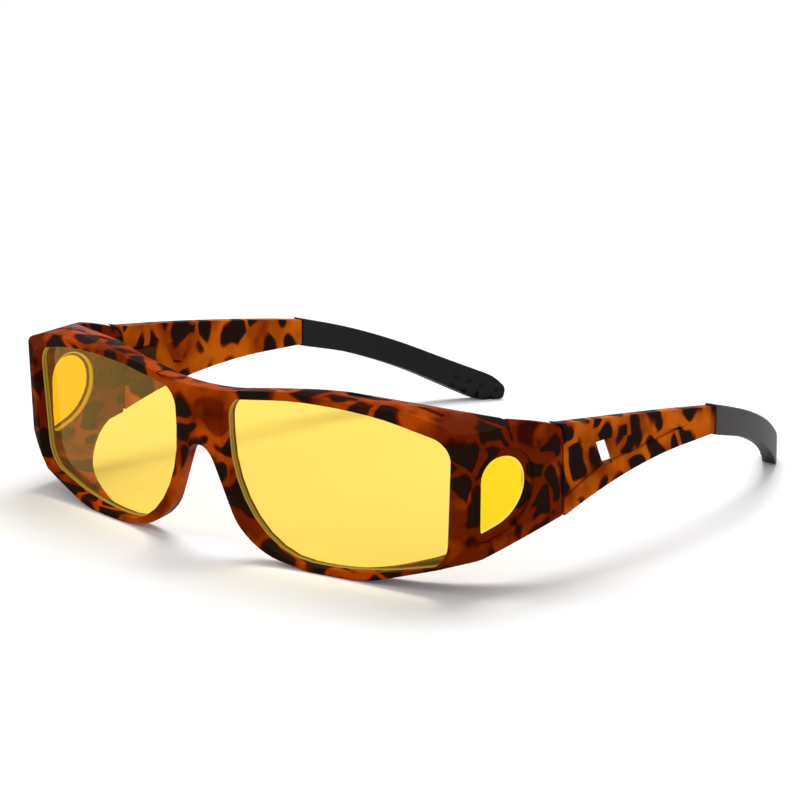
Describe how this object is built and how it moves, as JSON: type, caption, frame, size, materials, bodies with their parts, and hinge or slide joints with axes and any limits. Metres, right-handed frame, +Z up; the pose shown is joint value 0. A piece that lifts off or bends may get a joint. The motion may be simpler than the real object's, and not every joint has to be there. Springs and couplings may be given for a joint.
{
  "type": "night driving glasses",
  "caption": "Wrap-round glasses with yellow lenses, tinted side windows and vented brow, worn over spectacles; both temples fold inwards on leaf hinges.",
  "frame": {"origin": "centre of the footprint of the open glasses, on the table that they stand on", "axes": "+X towards the wearer's left, +Y back along the temples, +Z up"},
  "size_m": [0.1458, 0.1547, 0.0414],
  "materials": {
    "tortoise": "satin tortoiseshell",
    "lens": "clear yellow",
    "side_window": "clear yellow",
    "steel": "fine brushed",
    "rubber": "matt"
  },
  "bodies": {
    "front": {"front_frame": "tortoise", "lens_left": "lens", "lens_right": "lens", "side_window_left": "side_window", "side_window_right": "side_window", "front_leaf_left": "steel", "front_leaf_right": "steel", "front_leaf_screws": "steel", "hinge_screw_left": "steel", "hinge_screw_right": "steel"},
    "temple_left": {"temple_left": "tortoise", "temple_leaf_left": "steel", "temple_leaf_screws_left": "steel", "temple_tip_left": "rubber"},
    "temple_right": {"temple_right": "tortoise", "temple_leaf_right": "steel", "temple_leaf_screws_right": "steel", "temple_tip_right": "rubber"}
  },
  "joints": [
    {"name": "fold_left", "type": "hinge", "parent": "front", "child": "temple_left", "pos_m": [0.0675, -0.03461, 0.024], "axis": [0, 0, 1], "range_deg": [0, 90]},
    {"name": "fold_right", "type": "hinge", "parent": "front", "child": "temple_right", "pos_m": [-0.0675, -0.03461, 0.024], "axis": [0, 0, -1], "range_deg": [0, 76]}
  ]
}
